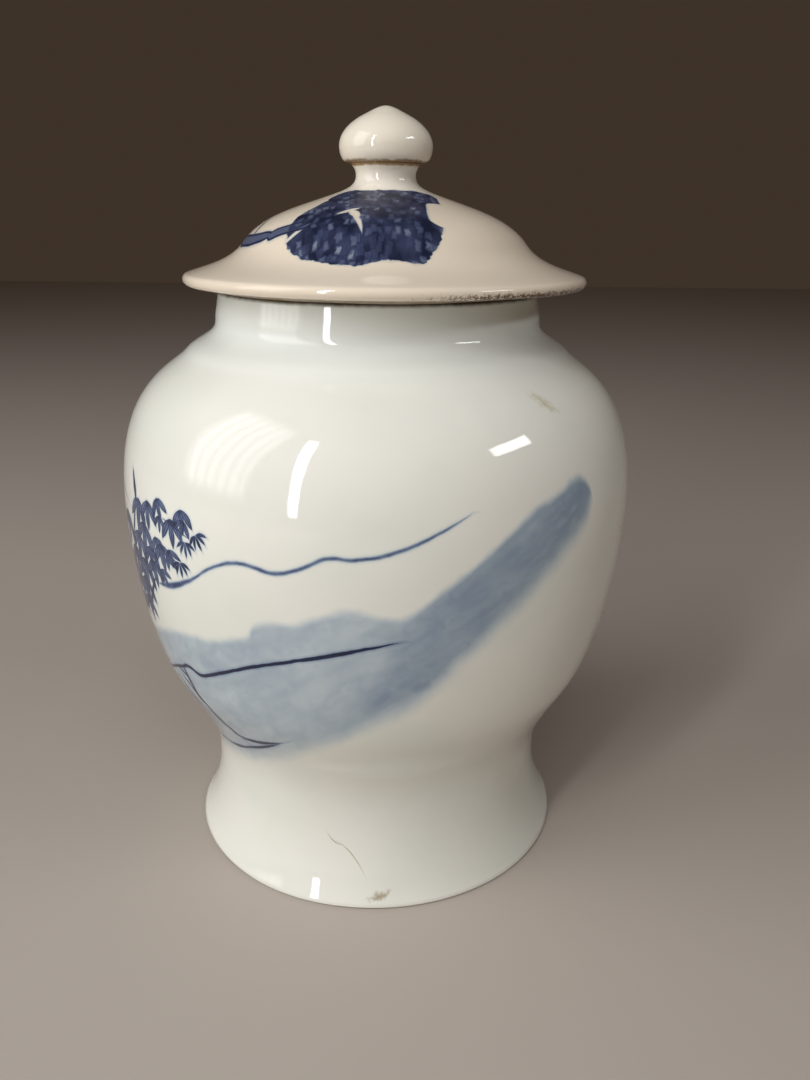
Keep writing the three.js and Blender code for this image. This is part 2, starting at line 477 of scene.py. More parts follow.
def spray_group(name, length, width, pairs):
    """Leaves hanging from one point: one straight down, and a mirrored pair for each spread in pairs."""
    group = bpy.data.node_groups.new(name, "ShaderNodeTree")
    group.interface.new_socket("Place", in_out="INPUT", socket_type="NodeSocketVector")
    group.interface.new_socket("Ink", in_out="OUTPUT", socket_type="NodeSocketFloat")
    entry = group.nodes.new("NodeGroupInput")
    leave = group.nodes.new("NodeGroupOutput")
    place = entry.outputs[0]
    down = along_way(group, place, ORIGIN, -UP)
    aside = along_way(group, place, ORIGIN, ACROSS)
    ink = hanging_leaf(group, aside, down, 0, length, width, 0.0)
    fold = add(group, "Math", {0: aside}, operation="ABSOLUTE")
    for spread in pairs:
        leaf = hanging_leaf(group, fold, down, spread, 0.95 * length, width, 0.6)
        ink = add(group, "Math", {0: ink, 1: leaf}, operation="MAXIMUM")
    group.links.new(ink.outputs[0], leave.inputs[0])
    return group


# Where each spray of three leaves hangs: degrees round the jar, height, lean in degrees and size
SPRAYS = [
    (-43.6, 195.0, 4, 1.0),
    (-48.6, 201.5, 24, 0.8),
    (-40.4, 200.5, 8, 0.85),
    (-39.8, 196.5, -12, 0.7),
    (-47.4, 194.5, -4, 0.6),
    (-52.5, 198.5, 2, 1.05),
    (-56.8, 197.0, -12, 1.25),
    (-54.5, 187.5, -8, 1.2),
    (-49.8, 184.0, 18, 0.75),
    (-47.8, 182.0, 8, 1.05),
    (-45.4, 180.5, 36, 0.8),
    (-52.5, 178.0, -2, 1.05),
    (-58.5, 181.0, -10, 1.3),
    (-52.3, 172.0, 8, 1.05),
    (-49.0, 169.5, 36, 0.7),
    (-56.5, 169.5, -8, 1.3),
    (-62.0, 172.0, -8, 1.4),
    (-58.5, 159.5, -2, 1.2),
    (-63.0, 158.0, 0, 1.5),
    (-60.5, 149.0, 6, 1.1),
    (-66.5, 186.0, -8, 1.4),
    (-68.0, 166.0, -4, 1.5),
    (-67.5, 148.0, 6, 1.3),
    (-73.5, 178.0, -2, 1.4),
    (-75.0, 158.0, 8, 1.4),
    (-81.0, 190.0, -10, 1.2),
    (-82.0, 170.0, 4, 1.3),
    (-89.0, 182.0, -4, 1.2),
]

# Where each bud of five thin leaves opens, at the ends of the twigs
TIPS = [
    (-36.4, 191.5, 30, 1.0),
    (-39.4, 187.0, 2, 1.0),
    (-41.6, 177.0, 8, 1.05),
]


def sprays_ink(tree, sheet):
    """Each spray of the hanging branch in turn."""
    spray = spray_group("leaf_spray", 13.0, 3.9, [37])
    tip = spray_group("leaf_tip", 7.0, 1.7, [30, 62])
    for kind, places in ((spray, SPRAYS), (tip, TIPS)):
        for degrees, height, lean, size in places:
            local = add(
                tree,
                "Mapping",
                {
                    "Vector": sheet,
                    "Location": (degrees * DEGREE, height, 0),
                    "Rotation": (0, 0, math.radians(lean)),
                    "Scale": (size, size, 1),
                },
                vector_type="TEXTURE",
            )
            drawn = add(tree, "Group", {}, node_tree=kind)
            tree.links.new(local.outputs[0], drawn.inputs[0])
            yield drawn


# Twigs between the sprays: start and end, each in degrees and height, then width and bow in millimetres
TWIGS = [
    ((-61.3, 209), (-58.3, 192), 3.0, 1.0),
    ((-58.5, 200), (-64.5, 172), 1.9, 2.0),
    ((-51.5, 165), (-60.5, 137), 2.3, -1.0),
    ((-56.5, 148), (-78, 119), 2.9, -3.0),
    ((-62, 178), (-72, 146), 2.4, 3.0),
    ((-65, 160), (-84, 128), 2.6, 3.0),
    ((-46.5, 194), (-38, 189), 0.9, 0.5),
    ((-50, 181), (-42, 176), 0.9, 0.5),
    ((-76, 121), (-102, 106), 3.0, 3.0),
    ((-66, 192), (-92, 198), 1.2, -3.0),
    ((-62, 176), (-86, 186), 1.2, -2.0),
]


def leaves_ink(tree, sheet):
    """The hanging branch: all its sprays and bare tips, and the twigs between them."""
    leaves = union(tree, sprays_ink(tree, sheet))
    branch = brushed(tree, union(tree, strokes_round(tree, sheet, TWIGS)), 0.35)
    return union(tree, [leaves, branch])


# The two ridges: degrees round the jar and heights, and the brush's half width in millimetres along each.
# A half width below 0 is a brush that has left the surface.
FAR_RIDGE = [
    (-53, 161), (-47, 163), (-40, 169), (-32, 180), (-26, 184), (-19, 182), (-14, 185), (-9, 190), (-4, 190),
    (4, 193.5), (10, 199), (17.5, 207),
]
FAR_PRESSURE = [
    (-54, -2.5), (-50, 0.5), (-35, 0.6), (-20, 0.8), (-5, 0.7), (8, 0.65), (14, 0.3), (18, -0.6), (21, -2.5),
]
NEAR_RIDGE = [
    (-120, 92), (-90, 88), (-75, 95), (-61, 109), (-50, 119), (-47, 121.5), (-43, 120), (-39, 123),
    (-33, 129), (-25, 136.5), (-15, 143.5), (-5, 149.5), (5, 154.5),
]
NEAR_PRESSURE = [
    (-122, -2.5), (-110, 0.5), (-60, 0.7), (-40, 0.9), (-20, 0.8), (-6, 0.85), (1, 0.4), (5.5, -0.6),
    (8, -2.5),
]

# Dry strokes of the rocks: start and end, each in degrees and height, then width and bow in millimetres
ROCKS = [
    ((-50.5, 120), (-49, 98), 2.2, 1.0),
    ((-49, 106), (-41, 82), 2.6, -1.5),
    ((-46, 93), (-38, 81), 1.8, -1.0),
    ((-42, 83), (-24, 91.5), 1.9, -2.0),
    ((-54, 68), (-38, 77), 1.6, -1.5),
    ((-42, 74), (-25, 90), 1.7, -1.0),
    ((-54, 113), (-46, 93), 1.6, 1.5),
    ((-57, 110), (-49, 82), 2.2, 1.0),
    ((-61, 106), (-52, 76), 2.4, 2.0),
    ((-68, 99), (-58, 70), 2.0, 2.0),
    ((-76, 92), (-66, 66), 2.4, 2.0),
    ((-54, 116), (-49, 112), 1.4, 0.5),
    ((-50, 97), (-44, 85), 1.4, 0.0),
    ((-88, 88), (-78, 64), 2.2, 2.0),
    ((-100, 89), (-92, 66), 2.0, 2.0),
    ((-66, 63), (-50, 69), 1.6, 1.0),
    ((-96, 60), (-64, 64), 1.8, -2.0),
]


def hills_ink(tree, sheet):
    """Two brushed ridge lines and the short dry strokes of the rocks below them."""
    across = along_way(tree, sheet, ORIGIN, ACROSS)
    across = add(tree, "Math", {0: across, 1: 1 / DEGREE}, operation="MULTIPLY")
    height = along_way(tree, sheet, ORIGIN, UP)
    far_ridge = drawn_line(tree, across, height, FAR_RIDGE, FAR_PRESSURE)
    near_ridge = drawn_line(tree, across, height, NEAR_RIDGE, NEAR_PRESSURE)
    rock = union(tree, strokes_round(tree, sheet, ROCKS))
    near = brushed(tree, union(tree, [near_ridge, rock]), 0.5)
    # The far ridge is drawn with a wetter, paler brush
    far = add(tree, "Math", {0: brushed(tree, far_ridge, 0.9), 1: 0.84}, operation="MULTIPLY")
    return union(tree, [near, far])


def wash_area(tree, across, height, top, foot, top_softness, foot_softness):
    """1 between two traced edges and 0 outside them, each edge as soft as the paint was wet there."""
    top_line = traced(tree, across, top)
    foot_line = traced(tree, across, foot)
    below = add(tree, "Math", {0: top_line, 1: height}, operation="SUBTRACT")
    above = add(tree, "Math", {0: height, 1: foot_line}, operation="SUBTRACT")
    top_edge = soft_edge(tree, below, top_softness)
    foot_edge = soft_edge(tree, above, foot_softness)
    return add(tree, "Math", {0: top_edge, 1: foot_edge}, operation="MULTIPLY")


# The wash's edges, as degrees round the jar and heights. They cross over at both ends, which closes it.
WASH_TOP = [
    (-116, 84), (-80, 112), (-60, 131), (-45, 140), (-30, 147), (-25.5, 151), (-24.5, 155), (-15, 161),
    (-5, 168.5), (4, 164.5), (12, 176), (20, 189), (30, 204), (38, 210), (43, 213), (46, 209), (48, 190),
]
WASH_FOOT = [
    (-116, 110), (-104, 76), (-80, 60), (-50, 64), (-36, 71), (-20, 87), (-4, 108), (8, 123), (17, 143),
    (30, 168), (39, 184), (43, 190), (46, 198), (48, 212),
]
# The top edge of its more heavily loaded part, which shares the wash's foot
LOADED_TOP = [
    (-45, 50), (-20, 74), (-8, 106), (0, 136), (6, 159), (12, 177), (20, 192), (30, 208), (48, 222),
]


def wash_ink(tree, sheet):
    """A broad wet wash between the ridges, loaded more heavily where the brush was lifted."""
    loose = unsteady(tree, sheet, 14, 2.2)
    across = along_way(tree, loose, ORIGIN, ACROSS)
    across = add(tree, "Math", {0: across, 1: 1 / DEGREE}, operation="MULTIPLY")
    height = along_way(tree, loose, ORIGIN, UP)
    pale = wash_area(tree, across, height, WASH_TOP, WASH_FOOT, top_softness=2.8, foot_softness=8.0)
    loaded = wash_area(tree, across, height, LOADED_TOP, WASH_FOOT, top_softness=14.0, foot_softness=15.0)
    loaded = add(tree, "Math", {0: loaded, 1: pale}, operation="MULTIPLY")
    # Faint bristle streaks, about 7 mm apart and 50 mm long, run along the wash
    run = {"Vector": loose, "Rotation": (0, 0, math.radians(33)), "Scale": (52, 7, 1)}
    sweep = add(tree, "Mapping", run, vector_type="TEXTURE")
    streaks = add(tree, "TexNoise", {"Vector": sweep, "Scale": 1.0, "Detail": 1.5, "Roughness": 0.5})
    pools = add(tree, "TexNoise", {"Vector": sheet, "Scale": 1 / 20, "Detail": 2.0})
    base = add(tree, "Math", {0: streaks, 1: 0.18, 2: 0.07}, operation="MULTIPLY_ADD")
    pooled = add(tree, "Math", {0: pools, 1: 0.2, 2: base}, operation="MULTIPLY_ADD")
    heavier = add(tree, "Math", {0: loaded, 1: 0.13, 2: pooled}, operation="MULTIPLY_ADD")
    return add(tree, "Math", {0: pale, 1: heavier}, operation="MULTIPLY")


# The clump's edges, in millimetres across and forwards from the cover's axis
CLUMP_BACK = [
    (-43, 50), (-39, 38), (-33, 31), (-27, 24), (-22, 15), (-17, 13.5), (-10, 18), (0, 20), (10, 18),
    (17, 15.5), (21, 17), (24, 28),
]
CLUMP_FRONT = [
    (-43, 48), (-39, 57), (-34, 62), (-26, 67.5), (-18, 71.5), (-11, 73), (-4, 71), (6, 71), (14, 71),
    (18, 66), (21, 61), (24, 54),
]
CLUMP_LEFT = -41.5
CLUMP_RIGHT = 23.0

# Strokes left white in the clump, and those of its branch: start, end, width, bow, and whether it is blunt
CLUMP_GAPS = [
    ((24, -53), (23, -29), 13.0, 0.0, True),
    ((-15.5, -44), (-10, -60), 2.1, 0.9),
    ((-21, -44.5), (-11, -41), 2.6),
    ((-16, -41.5), (-11.5, -51), 4.0, 0.6),
    ((-45, -51), (-32, -46.5), 2.0),
]
BRANCH = [
    ((-31, -47), (-51, -38), 5.6, 0.4, True),
    ((-48, -39.6), (-64.5, -9), 4.8, 3.6, True),
    ((-64, -14), (-62, 26), 4.4, 1.6, True),
    ((-60, -26), (-52, -12), 1.3, -0.8),
    ((-64, 8), (-50, 26), 2.2, -1.6),
]


def clump_depths(tree, sheet):
    """Depth inside the clump, less the strokes left white in it, and depth inside its front edge alone."""
    crinkled = unsteady(tree, sheet, 3.4, 1.5)
    across = along_way(tree, crinkled, ORIGIN, ACROSS)
    front = along_way(tree, crinkled, ORIGIN, -UP)
    behind = add(tree, "Math", {0: front, 1: traced(tree, across, CLUMP_BACK)}, operation="SUBTRACT")
    before = add(tree, "Math", {0: traced(tree, across, CLUMP_FRONT), 1: front}, operation="SUBTRACT")
    left = add(tree, "Math", {0: across, 1: CLUMP_LEFT}, operation="SUBTRACT")
    right = add(tree, "Math", {0: CLUMP_RIGHT, 1: across}, operation="SUBTRACT")
    gaps = union(tree, (stroke(tree, sheet, *gap) for gap in CLUMP_GAPS))
    filled = add(tree, "Math", {0: gaps, 1: -1.0}, operation="MULTIPLY")
    depth = behind
    for edge in (before, left, right, filled):
        depth = add(tree, "Math", {0: depth, 1: edge}, operation="MINIMUM")
    return depth, before


def dabbed_ink(tree, sheet, before):
    """How heavily the clump was dabbed. Each dab is paler in its middle, and some are much paler."""
    # Dabs about 3 mm across and 5 mm long
    wavering = unsteady(tree, sheet, 5.0, 1.9)
    placed = add(tree, "Mapping", {"Vector": wavering, "Scale": (3.1, 4.6, FLAT)}, vector_type="TEXTURE")
    pattern = {"Vector": placed, "Scale": 1.0, "Randomness": 0.75}
    dabs = add(tree, "TexVoronoi", pattern, distance="CHEBYCHEV")
    spot = add(tree, "MapRange", {"Value": dabs, "From Min": 0.5, "From Max": 0.16}, **SMOOTH)
    pick = along_way(tree, dabs.outputs["Color"], ORIGIN, ACROSS)
    # The palest of them make a band that follows the front edge, 6.5 mm inside it
    band = add(tree, "Math", {0: before, 1: 6.5}, operation="SUBTRACT")
    band = add(tree, "Math", {0: band}, operation="ABSOLUTE")
    banded = {"Value": band, "From Min": 3.4, "From Max": 1.0, "To Min": 0.15, "To Max": 0.34}
    band = add(tree, "MapRange", banded, **SMOOTH)
    band = add(tree, "Math", {0: band, 1: pick}, operation="MULTIPLY")
    paler = add(tree, "Math", {0: band, 1: 0.16}, operation="ADD")
    paler = add(tree, "Math", {0: paler, 1: spot}, operation="MULTIPLY")
    # Uneven load of the brush, in patches about 10 mm wide
    patch = {"Vector": sheet, "Rotation": (0, 0, math.radians(12)), "Scale": (9, 11, FLAT)}
    patch = add(tree, "Mapping", patch, vector_type="TEXTURE")
    drag = add(tree, "TexNoise", {"Vector": patch, "Scale": 1.0, "Detail": 2.0, "Roughness": 0.5})
    loaded = {"Value": drag, "From Min": 0.36, "From Max": 0.66, "To Min": 1.0, "To Max": 0.86}
    loaded = add(tree, "MapRange", loaded, **SMOOTH)
    return add(tree, "Math", {0: loaded, 1: paler}, operation="SUBTRACT")


def branch_ink(tree, sheet):
    """The branch that the clump grows on: a dark outline round a paler fill."""
    depth = union(tree, (stroke(tree, sheet, *mark) for mark in BRANCH))
    bark = brushed(tree, depth, 0.4)
    fill = soft_edge(tree, add(tree, "Math", {0: depth, 1: 0.9}, operation="SUBTRACT"), 0.5)
    return add(tree, "Math", {0: fill, 1: -0.3, 2: bark}, operation="MULTIPLY_ADD")


def foliage_ink(tree, sheet):
    """The dark clump on the cover, dabbed wet so that the cobalt pools in cells, with its branch."""
    depth, before = clump_depths(tree, sheet)
    clump = brushed(tree, depth, 0.5)
    clump = add(tree, "Math", {0: clump, 1: dabbed_ink(tree, sheet, before)}, operation="MULTIPLY")
    return union(tree, [clump, branch_ink(tree, sheet)])


def cobalt(tree, ink):
    """Cobalt under the glaze: what it does to the white beneath, from bare through pale wash to indigo."""
    tint = add(tree, "ValToRGB", {"Fac": ink})
    ramp = tint.color_ramp.elements
    ramp[0].color = linear("#ffffff")
    ramp[1].color = linear("#202848")
    for position, colour in ((0.2, "#cedbea"), (0.4, "#9badc8"), (0.6, "#6f80a8"), (0.8, "#424f7b")):
        ramp.new(position).color = linear(colour)
    return tint


def specks(tree, spacing, size, share):
    """Small round specks on a surface, sized and spaced in mm. share is how many of the places hold one."""
    place = add(tree, "TexCoord", {}).outputs["Object"]
    cells = add(tree, "TexVoronoi", {"Vector": place, "Scale": 1 / (spacing * MM)})
    reach = size / spacing
    near = add(tree, "MapRange", {"Value": cells, "From Min": reach, "From Max": 0.5 * reach}, **SMOOTH)
    pick = add(tree, "SeparateColor", {0: cells.outputs["Color"]})
    chosen = add(tree, "Math", {0: pick, 1: share}, operation="LESS_THAN")
    return add(tree, "Math", {0: near, 1: chosen}, operation="MULTIPLY")


def glaze_surface(tree, colour, relief, rough=0.045, shine=0.5):
    """Clear glossy glaze over porcelain: mirror-sharp, but uneven by up to relief in mm, with pinholes."""
    place = add(tree, "TexCoord", {}).outputs["Object"]
    swell = add(tree, "TexNoise", {"Vector": place, "Scale": 1 / (30 * MM), "Detail": 1.0})
    ripple = add(tree, "TexNoise", {"Vector": place, "Scale": 1 / (5 * MM), "Detail": 1.0})
    # Throwing rings under the glaze, 7 mm apart. A wave of scale 1 repeats every 0.314 m.
    ring_scale = 0.314 / (7 * MM)
    wavy = {"Vector": place, "Scale": ring_scale, "Distortion": 3.0, "Detail": 1.0}
    rings = add(tree, "TexWave", wavy, bands_direction="Z")
    uneven = add(tree, "Math", {0: ripple, 1: 0.11, 2: swell}, operation="MULTIPLY_ADD")
    ringed = add(tree, "Math", {0: rings, 1: 0.05, 2: uneven}, operation="MULTIPLY_ADD")
    pits = specks(tree, spacing=9, size=0.35, share=0.25)
    pitted = add(tree, "Math", {0: pits, 1: -0.2, 2: ringed}, operation="MULTIPLY_ADD")
    bump = add(tree, "Bump", {"Height": pitted, "Strength": 1.0, "Distance": relief * MM})
    shader = add(
        tree,
        "BsdfPrincipled",
        {
            "Base Color": colour,
            "Roughness": rough,
            "IOR": 1.5,
            "Specular IOR Level": shine,
            "Normal": bump,
        },
    )
    add(tree, "OutputMaterial", {"Surface": shader})


# Settings of a Mix node for colours. Its sockets 0, 6 and 7 are the share and the two colours, and the
# result is its output 2.
BLEND = {"data_type": "RGBA"}
DARKER_MIX = {"data_type": "RGBA", "blend_type": "MULTIPLY"}


def marked_darker(tree, colour, share, dark):
    """A colour darkened where share is 1: by dirt, and at the top of the jar's lip by painted shadow."""
    return add(tree, "Mix", {0: share, 6: colour, 7: linear(dark)}, **DARKER_MIX).outputs[2]


def glaze_colour(tree, body, pool):
    """The glaze's own colour: slow cloudy changes, and iron specks, with thicker glaze where it ran."""
    place = add(tree, "TexCoord", {}).outputs["Object"]
    cloud = add(tree, "TexNoise", {"Vector": place, "Scale": 1 / (60 * MM), "Detail": 3.0})
    cloudy = {"Value": cloud, "From Min": 0.35, "From Max": 0.7, "To Max": 0.6}
    thick = add(tree, "MapRange", cloudy, **SMOOTH)
    clouded = add(tree, "Mix", {0: thick, 6: linear(body), 7: linear(pool)}, **BLEND).outputs[2]
    iron = specks(tree, spacing=16, size=0.42, share=0.35)
    return marked_darker(tree, clouded, iron, "#9a7d5c")


def neck_tinted(tree, height, colour):
    """Glaze lies thicker round the neck and looks bluer there, most of all in the hollow at its foot."""
    nearing = {"Value": height, "From Min": NECK_HEIGHT - 21, "From Max": NECK_HEIGHT - 5}
    neck = add(tree, "MapRange", nearing, **SMOOTH)
    colour = add(tree, "Mix", {0: neck, 6: colour, 7: linear("#e6e9e3")}, **BLEND).outputs[2]
    hollow = add(tree, "Math", {0: height, 1: NECK_HEIGHT - 3.5}, operation="SUBTRACT")
    hollow = add(tree, "Math", {0: hollow}, operation="ABSOLUTE")
    hollow = add(tree, "MapRange", {"Value": hollow, "From Min": 6.0, "From Max": 1.0}, **SMOOTH)
    return add(tree, "Mix", {0: hollow, 6: colour, 7: linear("#ebefea")}, **BLEND).outputs[2]


def jar_ink(tree, sheet, hand):
    """All the cobalt on the jar. Brush lines are uneven in strength every few millimetres."""
    lines = union(tree, [leaves_ink(tree, hand), hills_ink(tree, hand)])
    drag = add(tree, "TexNoise", {"Vector": sheet, "Scale": 1 / 6, "Detail": 3.0, "Roughness": 0.6})
    dragged = {"Value": drag, "From Min": 0.3, "From Max": 0.7, "To Min": 0.78}
    strength = add(tree, "MapRange", dragged, **SMOOTH)
    lines = add(tree, "Math", {0: lines, 1: strength}, operation="MULTIPLY")
    return add(tree, "Math", {0: lines, 1: wash_ink(tree, sheet)}, operation="ADD")


def jar_wear_and_lip_shade(tree, sheet, hand, colour):
    """A dirty hairline and a smear on the foot, a scuff on the shoulder, and painted shadow: a black band at
    the top of the lip, under the cover's rim.
    """
    crack_strokes = [((-16, 34), (-11, 28.5), 0.5, -1.5), ((-12, 29.5), (-4, 15), 0.5, 1.5)]
    crack = union(tree, strokes_round(tree, hand, crack_strokes))
    colour = marked_darker(tree, colour, soft_edge(tree, crack, 0.35), "#bba78e")
    rubbed = unsteady(tree, sheet, 3, 3)
    scuff = stroke(tree, rubbed, (38 * DEGREE, 245), (42 * DEGREE, 240), 2.0)
    colour = marked_darker(tree, colour, soft_edge(tree, scuff, 2.5), "#dcd0b8")
    smear = stroke(tree, rubbed, (-2 * DEGREE, 4), (3.5 * DEGREE, 7), 2.4)
    colour = marked_darker(tree, colour, soft_edge(tree, smear, 1.8), "#b8aa94")
    # Painted shadow: a dark band at the top of the jar's lip, where the cover's rim shades it
    height = along_way(tree, unsteady(tree, sheet, 6, 0.4), ORIGIN, UP)
    rim_shadow_band = {"Value": height, "From Min": LIP_HEIGHT - 4.6, "From Max": LIP_HEIGHT - 2.6}
    darkening = add(tree, "MapRange", rim_shadow_band, **SMOOTH)
    return marked_darker(tree, colour, darkening, "#544b41")


def porcelain_painted_jar():
    """Blue-and-white porcelain: cobalt brushed on the raw body under a clear, faintly green, shiny glaze."""
    made = empty_material("porcelain_glazed_blue_painted")
    tree = made.node_tree
    sheet = jar_sheet(tree)
    hand = unsteady(tree, sheet, 7, 0.5)
    height = along_way(tree, sheet, ORIGIN, UP)
    colour = neck_tinted(tree, height, glaze_colour(tree, "#edece3", "#e2e5db"))
    ink = jar_ink(tree, sheet, hand)
    painted = add(tree, "Mix", {0: 1.0, 6: colour, 7: cobalt(tree, ink)}, **DARKER_MIX).outputs[2]
    glaze_surface(tree, jar_wear_and_lip_shade(tree, sheet, hand, painted), relief=0.16)
    return made


def rim_dirt(tree, sheet, parts, colour):
    """Dirt in the pinholes low on the cover's rim, more on one side."""
    low = {"Value": parts.outputs["Z"], "From Min": LIP_HEIGHT + 4.2, "From Max": LIP_HEIGHT + 1.0}
    low = add(tree, "MapRange", low, **SMOOTH)
    rightwards = {"Value": parts.outputs["X"], "From Min": -20.0, "From Max": 50.0}
    side = add(tree, "MapRange", rightwards, **SMOOTH)
    place = add(tree, "Math", {0: low, 1: side}, operation="MULTIPLY")
    darkening = add(tree, "TexNoise", {"Vector": sheet, "Scale": 1 / 1.2, "Detail": 4.0, "Roughness": 0.7})
    heavy = add(tree, "Math", {0: place, 1: 0.24, 2: darkening}, operation="MULTIPLY_ADD")
    dirt = add(tree, "MapRange", {"Value": heavy, "From Min": 0.62, "From Max": 0.74}, **SMOOTH)
    dirt = add(tree, "Math", {0: dirt, 1: place}, operation="MULTIPLY")
    return marked_darker(tree, colour, dirt, "#6a5646")


def porcelain_painted_cover():
    """The same painted ware from a warmer, creamier batch: a clear, shiny glaze, whitest on the stem."""
    made = empty_material("porcelain_glazed_cream_painted")
    tree = made.node_tree
    sheet = cover_sheet(tree)
    parts = add(tree, "SeparateXYZ", {0: unsteady(tree, sheet, 3, 0.8)})
    height = parts.outputs["Z"]
    rising = {"Value": height, "From Min": CROWN_HEIGHT - 3, "From Max": CROWN_HEIGHT + 3}
    stem = add(tree, "MapRange", rising, **SMOOTH)
    cream = glaze_colour(tree, "#eaddca", "#e2d5c2")
    colour = add(tree, "Mix", {0: stem, 6: cream, 7: linear("#ece5d8")}, **BLEND).outputs[2]
    ink = foliage_ink(tree, unsteady(tree, sheet, 8, 0.4))
    painted = add(tree, "Mix", {0: 1.0, 6: colour, 7: cobalt(tree, ink)}, **DARKER_MIX).outputs[2]
    painted = rim_dirt(tree, sheet, parts, painted)
    # Brown dirt runs down from the groove under the bud
    running = {"Value": height, "From Min": BUD_FOOT - 1.8, "From Max": BUD_FOOT - 0.9}
    runs = add(tree, "MapRange", running, **SMOOTH)
    painted = marked_darker(tree, painted, runs, "#a3865e")
    # Heavy cobalt comes up through the glaze and dulls it
    rough = add(tree, "Math", {0: ink, 1: 0.3, 2: 0.05}, operation="MULTIPLY_ADD")
    shine = add(tree, "Math", {0: ink, 1: -0.38, 2: 0.5}, operation="MULTIPLY_ADD")
    glaze_surface(tree, painted, relief=0.14, rough=rough, shine=shine)
    return made


def porcelain_bud():
    """The same cream glaze, with iron-brown dirt in the groove under the bud."""
    made = empty_material("porcelain_glazed_cream")
    tree = made.node_tree
    sheet = cover_sheet(tree)
    colour = glaze_colour(tree, "#ece4d5", "#e4dccb")
    height = add(tree, "SeparateXYZ", {0: unsteady(tree, sheet, 4, 0.9)}).outputs["Z"]
    off = add(tree, "Math", {0: height, 1: BUD_FOOT - 0.2}, operation="SUBTRACT")
    off = add(tree, "Math", {0: off}, operation="ABSOLUTE")
    groove = add(tree, "MapRange", {"Value": off, "From Min": 1.7, "From Max": 0.6}, **SMOOTH)
    glaze_surface(tree, marked_darker(tree, colour, groove, "#8f7450"), relief=0.12)
    return made


def porcelain_plain():
    """Glaze poured inside and swilled round: the same white with no painting."""
    made = empty_material("porcelain_glazed_plain")
    tree = made.node_tree
    glaze_surface(tree, glaze_colour(tree, "#e8e7dd", "#dcdfd5"), relief=0.2)
    return made


def bare_biscuit():
    """Porcelain body wiped clean of glaze: chalky, faintly sandy, kiln-toasted, with old dirt in it."""
    made = empty_material("porcelain_unglazed_biscuit")
    tree = made.node_tree
    place = add(tree, "TexCoord", {}).outputs["Object"]
    cloud = add(tree, "TexNoise", {"Vector": place, "Scale": 1 / (14 * MM), "Detail": 4.0, "Roughness": 0.6})
    toast = add(tree, "MapRange", {"Value": cloud, "From Min": 0.4, "From Max": 0.7}, **SMOOTH)
    colour = add(tree, "Mix", {0: toast, 6: linear("#cfc5b4"), 7: linear("#b9a285")}, **BLEND).outputs[2]
    grit = add(tree, "TexNoise", {"Vector": place, "Scale": 1 / (0.6 * MM), "Detail": 3.0, "Roughness": 0.7})
    gritty = {"Value": grit, "From Min": 0.58, "From Max": 0.75, "To Max": 0.6}
    dirt = add(tree, "MapRange", gritty, **SMOOTH)
    colour = marked_darker(tree, colour, dirt, "#8a7660")
    bump = add(tree, "Bump", {"Height": grit, "Strength": 0.6, "Distance": 0.12 * MM})
    rough = add(tree, "MapRange", {"Value": grit, "To Min": 0.62, "To Max": 0.9}, **SMOOTH)
    chalky = {"Base Color": colour, "Roughness": rough, "IOR": 1.5, "Normal": bump}
    add(tree, "OutputMaterial", {"Surface": add(tree, "BsdfPrincipled", chalky)})
    return made


# ---- Pieces

plain = porcelain_plain()
biscuit = bare_biscuit()


def lined(piece, painted, lining, axis_x=0.0):
    """Gives the faces that look away from the axis the painted finish, and the rest the lining's."""
    level = 1e-6
    piece.data.materials.append(painted)
    piece.data.materials.append(lining)
    for face in piece.data.polygons:
        away = face.normal.x * (face.center.x - axis_x * MM) + face.normal.y * face.center.y
        face.material_index = 0 if away > level else 1


def hand_thrown(piece):
    """Takes the machine truth out of a turned shape: slow dents of a few tenths of a millimetre."""
    lumps = bpy.data.textures.new(piece.name + "_lumps", "CLOUDS")
    lumps.noise_scale = 62 * MM
    lumps.noise_depth = 0
    dents = piece.modifiers.new("dents", "DISPLACE")
    dents.texture = lumps
    dents.texture_coords = "LOCAL"
    dents.strength = 0.9 * MM
    dents.mid_level = 0.5
    bpy.context.view_layer.objects.active = piece
    bpy.ops.object.modifier_apply(modifier=dents.name)


def finish(piece, body, slot, *nodes):
    """Ties a piece to its CAD body and hides the CAD nodes that it stands in for. slot is not used."""
    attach(piece, body)
    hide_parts(*nodes)


jar = thrown("glazed_jar", jar_section())
hand_thrown(jar)
lined(jar, porcelain_painted_jar(), plain)
finish(jar, "jar", "jar_glaze", "foot_section", "lower_body", "upper_body", "neck_collar")

foot_rim = thrown("bare_foot_rim", foot_rim_section())
foot_rim.data.materials.append(biscuit)
finish(foot_rim, "jar", "bare_biscuit")

lip = thrown("bare_lip", lip_section())
lip.data.materials.append(biscuit)
finish(lip, "jar", "bare_biscuit")

cover = thrown("glazed_cover", cover_section(), COVER_X)
lined(cover, porcelain_painted_cover(), plain, COVER_X)
finish(cover, "cover", "cover_glaze", "cover_dome", "finial_stem")

seat = thrown("bare_cover_seat", cover_seat_section(), COVER_X)
seat.data.materials.append(biscuit)
finish(seat, "cover", "bare_biscuit")

locating_ring = thrown("locating_ring", locating_ring_section(), COVER_X)
locating_ring.data.materials.append(biscuit)
finish(locating_ring, "cover", "bare_biscuit", "cover_locating_ring")

bud = thrown("finial_bud", bud_section(), COVER_X)
bud.data.materials.append(porcelain_bud())
finish(bud, "cover", "cover_glaze", "finial_bud")


# ---- Studio


